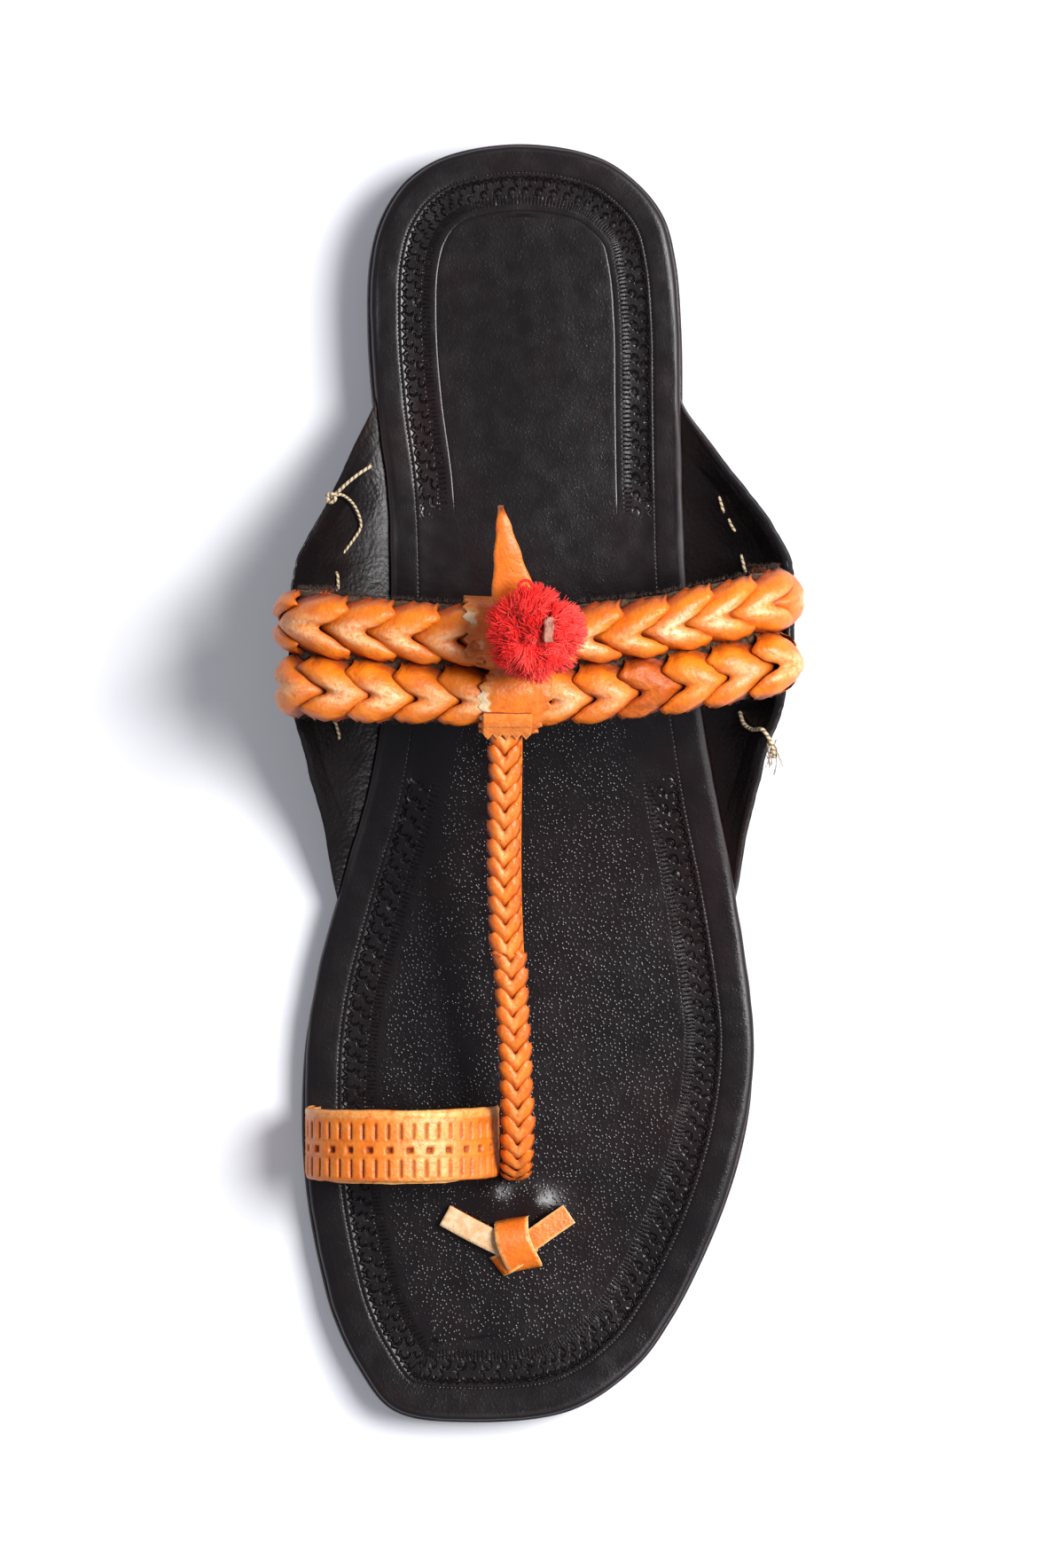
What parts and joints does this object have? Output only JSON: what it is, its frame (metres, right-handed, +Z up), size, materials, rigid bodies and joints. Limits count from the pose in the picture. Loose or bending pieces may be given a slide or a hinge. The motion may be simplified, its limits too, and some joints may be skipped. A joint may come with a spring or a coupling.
{
  "type": "kolhapuri sandal",
  "caption": "Left flat leather sandal with a plaited double instep band, a toe post with a big toe loop, leather side ears, a wool pompom and a low stacked heel.",
  "frame": {"origin": "on the floor, under the middle of the sandal's bounding box", "axes": "+Z up, -Y towards the toe, +Y towards the heel, -X the inner (big toe) side, +X the outer (little toe) side"},
  "size_m": [0.1058, 0.264, 0.0743],
  "materials": {
    "sole_leather": "semi-matt, rough cut edges",
    "black_leather": "polished on the margins, grained in the middle",
    "tan_leather": "smooth, lightly burnished",
    "red_wool": "fuzzy, cut pile",
    "pin_leather": "matt"
  },
  "bodies": {
    "root": {"outsole": "sole_leather", "heel": "sole_leather", "insole": "black_leather", "ear_inner": "black_leather", "ear_outer": "black_leather", "upper": "tan_leather", "centre_wrap": "tan_leather", "tail_tab": "tan_leather", "pompom": "red_wool", "pompom_pin": "pin_leather", "toe_knot": "tan_leather"}
  },
  "joints": []
}
